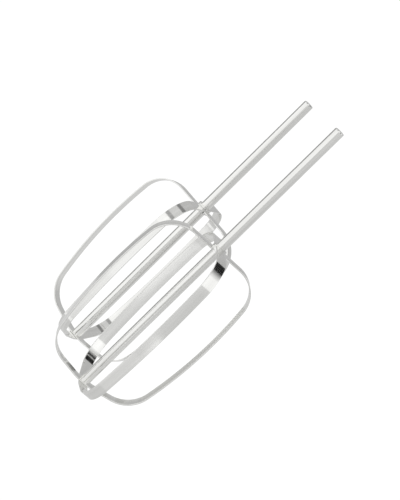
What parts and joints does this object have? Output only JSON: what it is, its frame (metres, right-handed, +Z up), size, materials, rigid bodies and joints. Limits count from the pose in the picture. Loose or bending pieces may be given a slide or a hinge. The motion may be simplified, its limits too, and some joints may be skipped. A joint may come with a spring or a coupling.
{
  "type": "hand mixer beaters",
  "caption": "Pair of steel mixer beaters: on each shaft two flat-strip hoops cross at right angles to make an open whisking cage.",
  "frame": {"origin": "centre of the front shaft's top end, where it enters the mixer", "axes": "+Z up along both shafts; X in the plane of the front inner hoop; the rear beater is towards +Y"},
  "size_m": [0.0768, 0.1203, 0.1985],
  "materials": {
    "stainless_steel": "polished"
  },
  "bodies": {
    "front_beater": {"front_shaft": "stainless_steel", "front_outer_hoop": "stainless_steel", "front_inner_hoop": "stainless_steel"},
    "rear_beater": {"rear_shaft": "stainless_steel", "rear_outer_hoop": "stainless_steel", "rear_inner_hoop": "stainless_steel"}
  },
  "joints": [
    {"name": "rear_pull_out", "type": "slide", "parent": "front_beater", "child": "rear_beater", "axis": [0, 0, -1], "range_m": [0, 0.12]}
  ]
}
